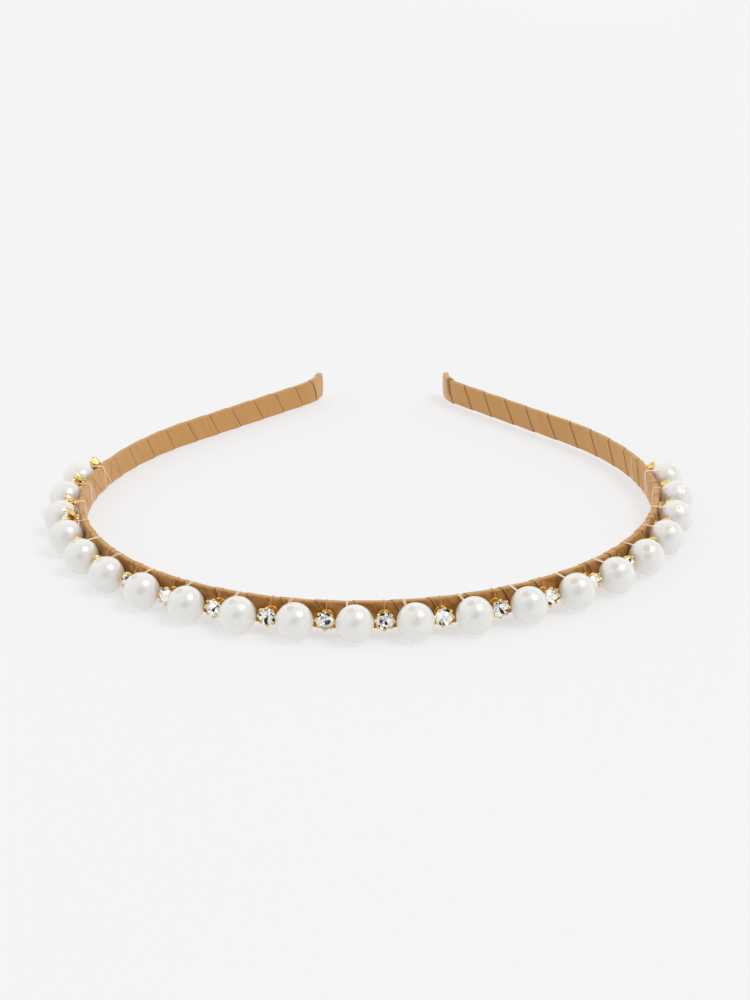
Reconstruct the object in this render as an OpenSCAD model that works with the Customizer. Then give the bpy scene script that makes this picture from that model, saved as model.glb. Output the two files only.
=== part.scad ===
// Headband with pearls and claw-set stones, sewn to a ribbon-wrapped steel strip.
// It lies flat: the arch is in the XY plane, its crown faces -Y and its tips face +Y.
// z = 0 is the surface under the pearls. Each distance "s" runs along the middle of the
// strip from the crown, positive towards +X. "out" is away from the wearer's head.

/* [Arch] */
// Radius of the crown arc, measured to the middle of the strip
crown_r = 66.8; // [62:0.1:72]
// Angle that each half of the crown arc turns through
crown_angle = 111; // [106:1:114]
// Radius of the flatter arc behind each ear
shoulder_r = 79; // [70:1:100]
// Angle that each shoulder arc turns through
shoulder_angle = 21; // [18:1:24]
// Length of the straight stretch of each arm
arm_length = 40; // [30:1:45]
// Radius of the outward flare at each tip
flare_r = 14; // [12:1:20]
// Angle that each tip flares out through
flare_angle = 48; // [40:1:56]

/* [Strip and ribbon] */
// Height of the steel strip
core_h = 5.4; // [5:0.1:6]
// Thickness of the steel strip
core_t = 0.9; // [0.7:0.1:1.1]
// Thickness of the wound ribbon, two layers deep
ribbon_t = 0.28; // [0.2:0.01:0.35]
// Length of the folded ribbon cover at each tip
tip_l = 8; // [5:0.5:8]
// Corner radius of the tip covers, seen from the side
tip_corner_r = 2.4; // [1.5:0.1:2.5]

/* [Pearls] */
// Number of pearls, an odd number so that one sits at the crown
pearl_count = 21; // [11:2:21]
// Diameter of a pearl
pearl_d = 8; // [7.6:0.1:8.2]
// Distance from pearl to pearl along the strip
pearl_pitch = 11.77; // [11.5:0.01:11.8]
// Diameter of the hole drilled through each pearl
hole_d = 1.5; // [1.3:0.1:1.8]
// Lean of the holes' upper ends away from the strip, on the half towards -X
low_lean = 24; // [23:1:30]
// Lean of the holes' upper ends away from the strip, well into the half towards +X
high_lean = 15; // [10:1:24]
// Slant of the holes along the strip, on the half towards -X
low_skew = 6; // [0:1:10]
// Slant of the holes along the strip, well into the half towards +X
high_skew = 36; // [10:1:38]

/* [Stones] */
// Diameter of a stone across its girdle
stone_d = 3.8; // [3.7:0.01:3.85]
// Largest diameter of the claw setting
setting_d = 4.6; // [4.5:0.05:4.6]
// Height of the claw setting
setting_h = 3.4; // [3.3:0.05:3.4]
// Number of claws on each setting
claw_count = 8; // [4:2:8]
// Upward tilt of the first four settings at the -X end, which are sewn on loosely
loose_tilts = [15, 20, 10, 28]; // [0:1:28]

/* [Thread] */
// Thickness of the sewing thread
thread_d = 0.3; // [0.2:0.05:0.35]
// Diameter of the stop knot behind each end stone
knot_d = 0.9; // [0.7:0.1:1]

/* [Flex] */
// Distance between the crown and an arm where the strip flexes
flex_gap = 0.4; // [0.35:0.05:0.5]

/* [Hidden] */

$fn = 96;
touch = 0.02;                       // clearance between solids that rest on each other
bead_gap = 0.05;                    // clearance between a pearl and the ribbon

wrap_t = ribbon_t + touch;          // what the ribbon adds on each side of the strip
band_t = core_t + 2 * wrap_t;
band_h = core_h + 2 * wrap_t;
edge_ease = 0.3;                    // easing of the ribbon's long edges
mid_z = pearl_d / 2;                // height of the strip's middle and the pearls' centres
pearl_out = band_t / 2 + bead_gap + pearl_d / 2;
seat_out = band_t / 2 + touch;      // where a setting's base stands

crown_l = arc_length(crown_r, crown_angle);
shoulder_l = arc_length(shoulder_r, shoulder_angle);
flare_l = arc_length(flare_r, flare_angle);
shoulder_end = crown_l + shoulder_l;
flare_start = shoulder_end + arm_length;
tip_s = flare_start + flare_l;
flex_s = crown_l + shoulder_l / 2;  // the arm flexes about the middle of its shoulder
cover_s = tip_s - tip_l;            // where the wound ribbon meets the tip cover

// The covered tip ends this far back, so the origin comes under the middle of the whole
tip_heading = heading(tip_s);
back_y = path_y(tip_s) + band_t / 2 * abs(cos(tip_heading));
front_y = -(pearl_out + pearl_d / 2);
origin_y = (back_y + front_y) / 2;

function arc_length(r, angle) = r * angle * PI / 180;
function numbered(name, i) = str(name, "_", i < 10 ? "0" : "", i);

// Heading of the strip, and the place of its middle line, at distance s from the crown
function turn(s) =
    s <= crown_l ? s / crown_r * 180 / PI
    : s <= shoulder_end ? crown_angle + (s - crown_l) / shoulder_r * 180 / PI
    : s <= flare_start ? crown_angle + shoulder_angle
    : crown_angle + shoulder_angle - (s - flare_start) / flare_r * 180 / PI;
function on_arc(start, from, to, r) =
    start + r * [sin(to) - sin(from), cos(from) - cos(to)];
function half_path(s) =
    s <= crown_l ? on_arc([0, 0], 0, turn(s), crown_r)
    : s <= shoulder_end ? on_arc(half_path(crown_l), crown_angle, turn(s), shoulder_r)
    : s <= flare_start ? half_path(shoulder_end)
        + (s - shoulder_end) * [cos(turn(s)), sin(turn(s))]
    : on_arc(half_path(flare_start), turn(flare_start), turn(s), -flare_r);
function heading(s) = sign(s) * turn(abs(s));
function path_x(s) = sign(s) * half_path(abs(s)).x;
function path_y(s) = half_path(abs(s)).y;
function pearl_s(i) = (i - (pearl_count + 1) / 2) * pearl_pitch;
function setting_s(i) = (i - (pearl_count + 2) / 2) * pearl_pitch;

// How the hole in pearl i lies: the change runs over six pearls from the one before the crown
function hole_share(i) = max(0, min(1, (i - (pearl_count - 1) / 2) / 6));
function hole_skew(i) = low_skew + (high_skew - low_skew) * hole_share(i);
function hole_lean(i) = low_lean + (high_lean - low_lean) * hole_share(i);

// The whole headband is drawn from its crown and then moved over the origin
module placed() {
    translate([0, -origin_y, 0]) children();
}

// Children drawn round the middle of the strip, +X along it and +Y towards the head
module station(s) {
    translate([path_x(s), path_y(s), mid_z]) rotate([0, 0, heading(s)]) children();
}

// ---- Cross-sections and swept stretches ----

module core_section() {
    square([core_t, core_h], center = true);
}

// Outline of the wrapped strip, with its four long edges eased
module wrapped_outline() {
    x = band_t / 2;
    y = band_h / 2;
    e = edge_ease;
    polygon([
        [x - e, -y], [x, e - y], [x, y - e], [x - e, y],
        [e - x, y], [-x, y - e], [-x, e - y], [e - x, -y]]);
}

module ribbon_section() {
    difference() {
        wrapped_outline();
        square([core_t + 2 * touch, core_h + 2 * touch], center = true);
    }
}

// The section swept round an arc that starts along +X and bends towards +Y
module arc_stretch(r, angle) {
    translate([0, r, 0]) rotate([0, 0, -90])
        rotate_extrude(angle = angle, $fn = 360)
            translate([r, 0]) children();
}

module straight_stretch(l) {
    rotate([90, 0, 90]) linear_extrude(l) children();
}

// Everything between the two flex points
module crown_stretch() {
    half_shoulder = turn(flex_s - flex_gap / 2) - crown_angle;
    station(-crown_l) arc_stretch(crown_r, 2 * crown_angle) children();
    for (side = [0, 1]) mirror([side, 0, 0])
        station(crown_l) arc_stretch(shoulder_r, half_shoulder) children();
}

// One arm on the +X side, from its flex point to distance end
module arm_stretch(end) {
    half_shoulder = turn(shoulder_end) - turn(flex_s + flex_gap / 2);
    station(shoulder_end) {
        mirror([1, 0, 0]) arc_stretch(shoulder_r, half_shoulder) children();
        straight_stretch(arm_length) children();
        translate([arm_length, 0, 0])
            mirror([0, 1, 0]) arc_stretch(flare_r, turn(flare_start) - turn(end)) children();
    }
}

// ---- Steel strip and ribbon ----

module core_crown() color("slategray") placed() crown_stretch() core_section();

module core_right_arm() color("slategray") placed() difference() {
    arm_stretch(tip_s - wrap_t) core_section();
    station(cover_s) across() difference() {
        translate([0, -core_h]) square(2 * core_h);
        tip_shape(tip_l - wrap_t, core_h, tip_corner_r - wrap_t);
    }
}

module core_left_arm() mirror([1, 0, 0]) core_right_arm();

module ribbon_crown() color("tan") placed() crown_stretch() ribbon_section();

module ribbon_right_arm() color("burlywood")
    placed() arm_stretch(cover_s - touch) ribbon_section();

module ribbon_left_arm() mirror([1, 0, 0]) ribbon_right_arm();

// Folded ribbon over the end of the strip, closed at the tip, with rounded corners
module right_tip_cover() color("peru") placed() station(cover_s) difference() {
    rounded_tip(tip_l, band_h, tip_corner_r) wrapped_outline();
    rounded_tip(tip_l - wrap_t + touch, core_h + 2 * touch, tip_corner_r - wrap_t + touch)
        square([core_t + 2 * touch, core_h + 2 * touch], center = true);
}

module left_tip_cover() mirror([1, 0, 0]) right_tip_cover();

function flare_turn(l) = l / flare_r * 180 / PI;

// The last stretch of the flare, rounded off in the side view
module rounded_tip(l, h, corner_r) {
    intersection() {
        mirror([0, 1, 0]) arc_stretch(flare_r, flare_turn(l)) children();
        across() tip_shape(l, h, corner_r);
    }
}

// Side view of a tip whose two far corners are rounded
module tip_shape(l, h, corner_r) {
    reach = flare_r * sin(flare_turn(l));
    translate([-1, -h / 2]) square([reach + 1 - corner_r, h]);
    translate([-1, corner_r - h / 2]) square([reach + 2, h - 2 * corner_r]);
    for (side = [-1, 1])
        translate([reach - corner_r, side * (h / 2 - corner_r)]) circle(corner_r);
}

// A side view made solid, well past both faces of the strip
module across() {
    rotate([90, 0, 0]) linear_extrude(10, center = true) children();
}

// ---- Pearls ----

module pearl(i) {
    color("ivory") placed() station(pearl_s(i)) translate([0, -pearl_out, 0])
        difference() {
            sphere(d = pearl_d);
            rotate([hole_lean(i), -hole_skew(i), 0])
                cylinder(d = hole_d, h = 2 * pearl_d, center = true);
        }
}

// ---- Claw settings and stones, drawn with +Z pointing out of the strip ----

channel_d = 0.85;                   // thread channel through the foot of a setting
channel_up = 0.72;                  // its height above the setting's base
base_d = 2.8;
seat_up = setting_h - 0.55;         // height of the ledge under the stone's girdle
girdle_t = 0.05;
claw_lip = 0.2;                     // how far the claws close in over the stone
notch_d = 1.05;                     // opening between two claws
lift_per_degree = 0.05;             // a loose setting sits higher, the more it tilts

function tilt(i) = i <= len(loose_tilts) ? loose_tilts[i - 1] : 0;

// Where the middle of a setting's base stands in the cross-section, as [out, up]
function seat(i) = [seat_out + base_d / 2 * sin(tilt(i)), lift_per_degree * tilt(i)];

module seated(i) {
    station(setting_s(i)) translate([0, -seat(i).x, seat(i).y])
        rotate([90 - tilt(i), 0, 0]) children();
}

module cup_profile() {
    rim = setting_d / 2;
    ledge = stone_d / 2 + 2 * touch;
    polygon([
        [0, 0], [base_d / 2, 0], [base_d / 2 + 0.2, 0.25], [rim * 0.83, 1.2],
        [rim * 0.95, 2], [rim, seat_up], [rim - 0.06, setting_h - 0.1], [rim - 0.2, setting_h],
        [ledge - claw_lip + 0.06, setting_h], [ledge - claw_lip, setting_h - 0.12],
        [ledge, setting_h - 0.3], [ledge, seat_up], [ledge - 0.35, seat_up - 0.42],
        [0.5, 1.32], [0, 1.25]]);
}

module setting(i) {
    color("gold") placed() seated(i) difference() {
        rotate_extrude() cup_profile();
        for (k = [1 : claw_count / 2])
            rotate([0, 0, (k + 0.5) * 360 / claw_count])
                translate([0, 0, setting_h]) rotate([90, 0, 0])
                    cylinder(d = notch_d, h = 2 * setting_d, center = true, $fn = 32);
        for (turned = [0, 90]) rotate([0, 0, turned])
            translate([0, 0, channel_up]) rotate([90, 0, 0])
                cylinder(d = channel_d, h = 2 * setting_d, center = true, $fn = 32);
    }
}

// A brilliant cut: table, crown, girdle and pavilion, with eight sides
module stone(i) {
    girdle = seat_up + touch + girdle_t;
    placed() seated(i) rotate([0, 0, 180 / claw_count])
        rotate_extrude($fn = 8) polygon([
            [0, girdle - stone_d * 0.43], [stone_d / 2, girdle - girdle_t],
            [stone_d / 2, girdle], [stone_d * 0.3, girdle + 0.42],
            [0, girdle + 0.42]]);
}

module stones_left() color("lightcyan")
    for (i = [1 : (pearl_count + 1) / 2]) stone(i);

module stones_right() color("lightcyan")
    for (i = [(pearl_count + 3) / 2 : pearl_count + 1]) stone(i);

// ---- Sewing thread: flat closed stitches round the strip ----

stitch_in = -(band_t / 2 + 2 * touch + thread_d / 2);       // behind the strip
over_pearl_r = pearl_d / 2 + touch + thread_d / 2;
touch_angle = 128;                                          // where it first meets the pearl

// How far a stitch in a plane that slants by skew passes from the strip's middle
function stitch_up(skew) =
    thread_d / 2 + (band_h / 2 + touch + thread_d / 2 * sin(skew)) / cos(skew);

// Round the strip, over the pearl's upper side, down its hole and back under the strip
function pearl_stitch(mouth, up) = concat(
    [[stitch_in, -up], [stitch_in, up], [band_t / 2 - 0.1, up]],
    [for (k = [0 : 6]) let (a = touch_angle + k / 6 * (mouth - touch_angle))
        [pearl_out, 0] + over_pearl_r * [cos(a), sin(a)]],
    [[pearl_out, 0] - over_pearl_r * [cos(mouth), sin(mouth)],
     [band_t / 2 + 0.2, -up]]);

// Round the strip and through the channel in the setting's foot
function stone_stitch(i, up) =
    let (middle = seat(i) + channel_up * [cos(tilt(i)), sin(tilt(i))],
         reach = setting_d / 2 * [-sin(tilt(i)), cos(tilt(i))])
    [[stitch_in, -up], [stitch_in, up], [band_t / 2 + touch, up],
     middle + reach, middle - reach, [band_t / 2 + touch, -up]];

// Points of a closed route moved sideways by d, with mitred corners
function unit(v) = v / norm(v);
function moved(route, d) = [
    for (k = [0 : len(route) - 1])
        let (before = route[(k + len(route) - 1) % len(route)],
             here = route[k],
             after = route[(k + 1) % len(route)],
             a = unit(here - before),
             b = unit(after - here),
             mitre = unit([-a.y - b.y, a.x + b.x]))
        here + d / (mitre * [-b.y, b.x]) * mitre];

module stitch(s, skew, route) {
    station(s) rotate([0, -skew, 0]) rotate([90, 0, -90]) linear_extrude(thread_d, center = true)
        difference() {
            polygon(moved(route, thread_d / 2));
            polygon(moved(route, -thread_d / 2));
        }
}

module pearl_thread() color("wheat") placed()
    for (i = [1 : pearl_count])
        stitch(pearl_s(i), hole_skew(i),
            pearl_stitch(90 - hole_lean(i), stitch_up(hole_skew(i))));

module stone_thread() color("wheat") placed()
    for (i = [1 : pearl_count + 1]) stitch(setting_s(i), 0, stone_stitch(i, stitch_up(0)));

knot_on = 3.4;                      // how far past the end stone the thread is tied off
knot_up = 1.2;                      // height of the knot above the strip's middle

// Stop knots, tied off against the ribbon past each end stone
module end_knots() color("tan") placed()
    for (side = [-1, 1])
        station(side * (setting_s(pearl_count + 1) + knot_on))
            translate([0, -(seat_out + knot_d / 2), knot_up]) sphere(d = knot_d);

// ---- Assembly ----

core_crown();
core_left_arm();
core_right_arm();
ribbon_crown();
ribbon_left_arm();
ribbon_right_arm();
left_tip_cover();
right_tip_cover();
for (i = [1 : pearl_count])
    pearl(i);
for (i = [1 : pearl_count + 1])
    setting(i);
stones_left();
stones_right();
pearl_thread();
stone_thread();
end_knots();
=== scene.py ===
import math
import random

import bpy
from mathutils import Matrix, Vector


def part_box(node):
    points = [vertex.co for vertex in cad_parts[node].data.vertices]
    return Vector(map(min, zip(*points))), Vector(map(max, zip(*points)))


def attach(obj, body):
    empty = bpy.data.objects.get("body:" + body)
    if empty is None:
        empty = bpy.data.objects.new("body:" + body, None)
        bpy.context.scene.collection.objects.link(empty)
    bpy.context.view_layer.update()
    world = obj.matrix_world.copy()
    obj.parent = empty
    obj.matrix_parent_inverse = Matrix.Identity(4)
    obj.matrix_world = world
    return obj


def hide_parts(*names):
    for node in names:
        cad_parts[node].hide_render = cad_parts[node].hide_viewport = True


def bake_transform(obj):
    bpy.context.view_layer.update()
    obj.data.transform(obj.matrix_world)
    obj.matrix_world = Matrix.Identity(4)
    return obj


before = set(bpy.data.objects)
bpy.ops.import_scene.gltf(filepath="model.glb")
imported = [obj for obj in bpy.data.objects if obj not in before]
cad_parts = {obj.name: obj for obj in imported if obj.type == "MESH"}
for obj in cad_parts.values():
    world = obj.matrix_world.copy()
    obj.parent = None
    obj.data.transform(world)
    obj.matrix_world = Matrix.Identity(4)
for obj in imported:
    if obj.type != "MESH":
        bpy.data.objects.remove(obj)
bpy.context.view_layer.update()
mm = 0.001
scene = bpy.context.scene
print("frame loaded:", len(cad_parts), "nodes")

# The line of the strip, from the crown (s = 0) to the right tip, in mm and degrees
arch = {
    "crownR": 66.8,
    "crownAngle": 111,
    "shoulderR": 79,
    "shoulderAngle": 21,
    "armLength": 40,
    "flareR": 14,
    "flareAngle": 48,
}
strip = {"thick": 0.9, "high": 5.4, "wrapped": 0.3, "cornerR": 0.12}
beads = {"count": 21, "pitch": 11.77}

coreLow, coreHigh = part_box("core_crown")
crownY = coreLow.y / mm + strip["thick"] / 2
midZ = (coreLow.z + coreHigh.z) / 2 / mm
bandOut = strip["thick"] / 2 + strip["wrapped"]  # the ribbon's outer face, from the line
crownEnd = arch["crownR"] * math.radians(arch["crownAngle"])
shoulderEnd = crownEnd + arch["shoulderR"] * math.radians(arch["shoulderAngle"])
flareStart = shoulderEnd + arch["armLength"]
tipS = flareStart + arch["flareR"] * math.radians(arch["flareAngle"])


def halfLine(s):  # x, y and heading on the +X side, for s from 0 up
    def arc(x, y, a, r, run):
        b = a + run / r
        return x + r * (math.sin(b) - math.sin(a)), y + r * (math.cos(a) - math.cos(b)), b

    x, y, a = arc(0, 0, 0, arch["crownR"], min(s, crownEnd))
    if s > crownEnd:
        x, y, a = arc(x, y, a, arch["shoulderR"], min(s, shoulderEnd) - crownEnd)
    if s > shoulderEnd:
        run = min(s, flareStart) - shoulderEnd
        x, y = x + run * math.cos(a), y + run * math.sin(a)
    if s > flareStart:
        x, y, a = arc(x, y, a, -arch["flareR"], s - flareStart)
    return x, y, a


def at(s, out, up):  # a point beside the line, in metres: out is away from the head
    x, y, a = halfLine(abs(s))
    x, a = (x, a) if s >= 0 else (-x, -a)
    return Vector((x + out * math.sin(a), crownY + y - out * math.cos(a), midZ + up)) * mm


def stationMatrix(s, out, up=0.0):  # local X along the line, Y up, Z away from the head
    _, _, a = halfLine(abs(s))
    a = a if s >= 0 else -a
    along, away = Vector((math.cos(a), math.sin(a), 0)), Vector((math.sin(a), -math.cos(a), 0))
    turned = Matrix((along, (0, 0, 1), away)).transposed().to_4x4()
    return Matrix.Translation(at(s, out, up)) @ turned


def beadS(i):  # i from 1 at the left end
    return (i - (beads["count"] + 1) / 2) * beads["pitch"]


def stoneS(i):
    return (i - (beads["count"] + 2) / 2) * beads["pitch"]


# Camera, from where the band is seen a little above its own height
camera = {
    "place": (24.8, -453.0, 199.0),  # mm from the crown, at the pearls' mid height
    "headingLeft": 2.58,
    "pitchDown": 20.94,
    "roll": 0.94,
    "lens": 85.6,
    "sensor": 36,
    "clip": (0.01, 20),
}


def makeCamera():
    data = bpy.data.cameras.new("camera")
    data.lens = camera["lens"]
    data.sensor_width = camera["sensor"]
    data.clip_start, data.clip_end = camera["clip"]
    obj = bpy.data.objects.new("camera", data)
    scene.collection.objects.link(obj)
    h, p, r = (math.radians(camera[k]) for k in ("headingLeft", "pitchDown", "roll"))
    ahead = Vector((-math.sin(h) * math.cos(p), math.cos(h) * math.cos(p), -math.sin(p)))
    level = Vector((math.cos(h), math.sin(h), 0))
    lifted = level.cross(ahead)
    right = level * math.cos(r) - lifted * math.sin(r)
    up = level * math.sin(r) + lifted * math.cos(r)
    obj.matrix_world = Matrix((right, up, -ahead)).transposed().to_4x4()
    x, y, z = camera["place"]
    obj.location = Vector((x, y + crownY, z + midZ)) * mm
    scene.camera = obj
    return ahead


lookAhead = makeCamera()
scene.view_settings.view_transform = "Standard"
print("camera placed")


# Node helpers
def addNode(tree, kind, **settings):
    node = tree.nodes.new(kind)
    for key, value in settings.items():
        setattr(node, key, value)
    return node


def feed(tree, socket, value):  # a link from another socket, or a constant
    if isinstance(value, bpy.types.NodeSocket):
        tree.links.new(value, socket)
    else:
        socket.default_value = value


def mathNode(tree, operation, a, b=0.0):
    node = addNode(tree, "ShaderNodeMath", operation=operation)
    feed(tree, node.inputs[0], a)
    feed(tree, node.inputs[1], b)
    return node.outputs[0]


def dotNode(tree, socket, way):
    node = addNode(tree, "ShaderNodeVectorMath", operation="DOT_PRODUCT")
    feed(tree, node.inputs[0], socket)
    feed(tree, node.inputs[1], tuple(way))
    return node.outputs["Value"]


def rangeNode(tree, value, low, high, toLow=0.0, toHigh=1.0):
    node = addNode(tree, "ShaderNodeMapRange", interpolation_type="SMOOTHSTEP")
    feed(tree, node.inputs["Value"], value)
    for key, v in (("From Min", low), ("From Max", high), ("To Min", toLow), ("To Max", toHigh)):
        feed(tree, node.inputs[key], v)
    return node.outputs["Result"]


def mixColour(tree, factor, a, b):
    node = addNode(tree, "ShaderNodeMix", data_type="RGBA")
    feed(tree, node.inputs["Factor"], factor)
    feed(tree, node.inputs[6], a)
    feed(tree, node.inputs[7], b)
    return node.outputs[2]


def noiseNode(tree, vector, scale, detail=2.0, rough=0.5):
    node = addNode(tree, "ShaderNodeTexNoise")
    for key, v in (("Vector", vector), ("Scale", scale), ("Detail", detail), ("Roughness", rough)):
        feed(tree, node.inputs[key], v)
    return node.outputs["Fac"]


def newGroup(name, inputs, outputs):
    group = bpy.data.node_groups.new(name, "ShaderNodeTree")
    for label, kind, value in inputs:
        socket = group.interface.new_socket(label, in_out="INPUT", socket_type=kind)
        if value is not None:
            socket.default_value = value
    for label, kind in outputs:
        group.interface.new_socket(label, in_out="OUTPUT", socket_type=kind)
    return group, group.nodes.new("NodeGroupInput").outputs, group.nodes.new("NodeGroupOutput").inputs


def useGroup(tree, group, **values):
    node = addNode(tree, "ShaderNodeGroup")
    node.node_tree = group
    for key, value in values.items():
        feed(tree, node.inputs[key], value)
    return node.outputs


def newMaterial(name, **constants):
    material = bpy.data.materials.new(name)
    material.use_nodes = True
    tree = material.node_tree
    shader = tree.nodes["Principled BSDF"]
    for key, value in constants.items():
        shader.inputs[key.replace("_", " ")].default_value = value
    return material, tree, shader


def bumpInto(tree, shader, height, strength, distance):
    node = addNode(tree, "ShaderNodeBump")
    node.inputs["Strength"].default_value = strength
    node.inputs["Distance"].default_value = distance
    feed(tree, node.inputs["Height"], height)
    tree.links.new(node.outputs["Normal"], shader.inputs["Normal"])


# Studio: an even pale surround, one softbox overhead to the right, a dim far side
studio = {
    "surround": 0.93,
    "softbox": 7.0,
    "softboxWay": (0.479, -0.167, 0.864),
    "softboxHalf": (0.19, 0.13),
    "softboxEdge": 0.11,
    "softboxSide": 0.3,  # only the half of the sky that the softbox is in can hold it
    "dimBand": 0.32,
    "bandRange": (0.55, 0.86, 0.97),  # the dim ring round the softbox: start, darkest, end
    "lensDot": 0.15,
    "lensShade": 0.7,  # how much darker the room is on the side of the lens
    "shadeRange": (0.76, 0.985),
    "backdrop": 0.90,  # what the lens sees behind the floor
}


def makeStudio():
    world = bpy.data.worlds.new("studio")
    scene.world = world
    world.use_nodes = True
    tree = world.node_tree
    background = tree.nodes["Background"]
    way = addNode(tree, "ShaderNodeTexCoord").outputs["Generated"]
    front = Vector(studio["softboxWay"]).normalized()
    side = front.cross(Vector((0, 0, 1))).normalized()
    rise = side.cross(front)
    edge = studio["softboxEdge"]
    x = mathNode(tree, "ABSOLUTE", dotNode(tree, way, side))
    y = mathNode(tree, "ABSOLUTE", dotNode(tree, way, rise))
    z = dotNode(tree, way, front)
    halfX, halfY = studio["softboxHalf"]
    inX = rangeNode(tree, x, halfX - edge, halfX + edge, 1, 0)
    inY = rangeNode(tree, y, halfY - edge, halfY + edge, 1, 0)
    facing = mathNode(tree, "GREATER_THAN", z, studio["softboxSide"])
    lamp = mathNode(tree, "MULTIPLY", mathNode(tree, "MULTIPLY", inX, inY), facing)
    toCamera = dotNode(tree, way, -lookAhead)
    dot = rangeNode(tree, toCamera, 1 - studio["lensDot"] ** 2, 1 - (studio["lensDot"] * 0.5) ** 2)
    start, darkest, end = studio["bandRange"]
    ring = mathNode(tree, "SUBTRACT", rangeNode(tree, z, start, darkest), rangeNode(tree, z, darkest, end))
    dim = mathNode(tree, "MULTIPLY", ring, studio["dimBand"])
    even = mathNode(tree, "MULTIPLY", mathNode(tree, "SUBTRACT", 1.0, dim), studio["surround"])
    even = mathNode(tree, "MULTIPLY", even, mathNode(tree, "SUBTRACT", 1.0, dot))
    lensSide = rangeNode(tree, toCamera, *studio["shadeRange"])
    shade = mathNode(tree, "MULTIPLY", lensSide, studio["lensShade"])
    even = mathNode(tree, "MULTIPLY", even, mathNode(tree, "SUBTRACT", 1.0, shade))
    total = mathNode(tree, "ADD", even, mathNode(tree, "MULTIPLY", lamp, studio["softbox"]))
    seen = addNode(tree, "ShaderNodeLightPath").outputs["Is Camera Ray"]
    strength = addNode(tree, "ShaderNodeMix", data_type="FLOAT")
    feed(tree, strength.inputs["Factor"], seen)
    feed(tree, strength.inputs[2], total)
    feed(tree, strength.inputs[3], studio["backdrop"])
    feed(tree, background.inputs["Strength"], strength.outputs[0])
    background.inputs["Color"].default_value = (1, 1, 1, 1)


makeStudio()


# Shared effects
def makeFibreGroup():  # fine parallel fibres; x of Way runs across them, y along them
    group, given, result = newGroup(
        "parallel fibres",
        [
            ("Way", "NodeSocketVector", None),
            ("Fineness", "NodeSocketFloat", 8.0),
            ("Waver", "NodeSocketFloat", 0.4),
        ],
        [("Shade", "NodeSocketFloat"), ("Height", "NodeSocketFloat")],
    )
    squeeze = addNode(group, "ShaderNodeCombineXYZ")
    split = addNode(group, "ShaderNodeSeparateXYZ")
    group.links.new(given["Way"], split.inputs[0])
    feed(group, squeeze.inputs[0], mathNode(group, "MULTIPLY", split.outputs[0], given["Fineness"]))
    feed(group, squeeze.inputs[1], mathNode(group, "MULTIPLY", split.outputs[1], given["Waver"]))
    feed(group, squeeze.inputs[2], split.outputs[2])
    fine = noiseNode(group, squeeze.outputs[0], 1.0, 3.0, 0.6)
    broad = noiseNode(group, squeeze.outputs[0], 0.18, 2.0, 0.5)
    feed(group, result["Height"], fine)
    fineShare, broadShare = mathNode(group, "MULTIPLY", fine, 0.6), mathNode(group, "MULTIPLY", broad, 0.4)
    both = mathNode(group, "ADD", fineShare, broadShare)
    feed(group, result["Shade"], rangeNode(group, both, 0.3, 0.7))
    return group


def makeMottleGroup():  # soft cloudy variation for lacquer, plate and paper
    group, given, result = newGroup(
        "soft mottle",
        [
            ("Scale", "NodeSocketFloat", 300.0),
            ("Low", "NodeSocketFloat", 0.0),
            ("High", "NodeSocketFloat", 1.0),
        ],
        [("Value", "NodeSocketFloat")],
    )
    place = addNode(group, "ShaderNodeTexCoord").outputs["Object"]
    cloud = noiseNode(group, place, given["Scale"], 3.0, 0.55)
    feed(group, result["Value"], rangeNode(group, cloud, 0.3, 0.7, given["Low"], given["High"]))
    return group


def makeHollowGroup():  # 1 in hollows, 0 on open or raised places
    group, given, result = newGroup(
        "hollows",
        [("Reach", "NodeSocketFloat", 0.06)],
        [("Mask", "NodeSocketFloat")],
    )
    point = addNode(group, "ShaderNodeNewGeometry").outputs["Pointiness"]
    low = mathNode(group, "SUBTRACT", 0.5, given["Reach"])
    feed(group, result["Mask"], rangeNode(group, point, low, 0.495, 1.0, 0.0))
    return group


fibres, mottle, hollows = makeFibreGroup(), makeMottleGroup(), makeHollowGroup()


# Materials
ribbonLook = {
    "lit": (0.640, 0.345, 0.112, 1),
    "deep": (0.500, 0.238, 0.062, 1),
    "seamShade": (0.150, 0.056, 0.012, 1),
    # painted highlight on a turn's raised edge; the tip covers also lighten towards this tone
    "edge": (0.720, 0.460, 0.220, 1),
    "paintedShade": (0.330, 0.135, 0.020, 1),  # painted shade: deeper colour of the outer face between the pearls
    "glue": (0.300, 0.105, 0.015, 1),
}


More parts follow.
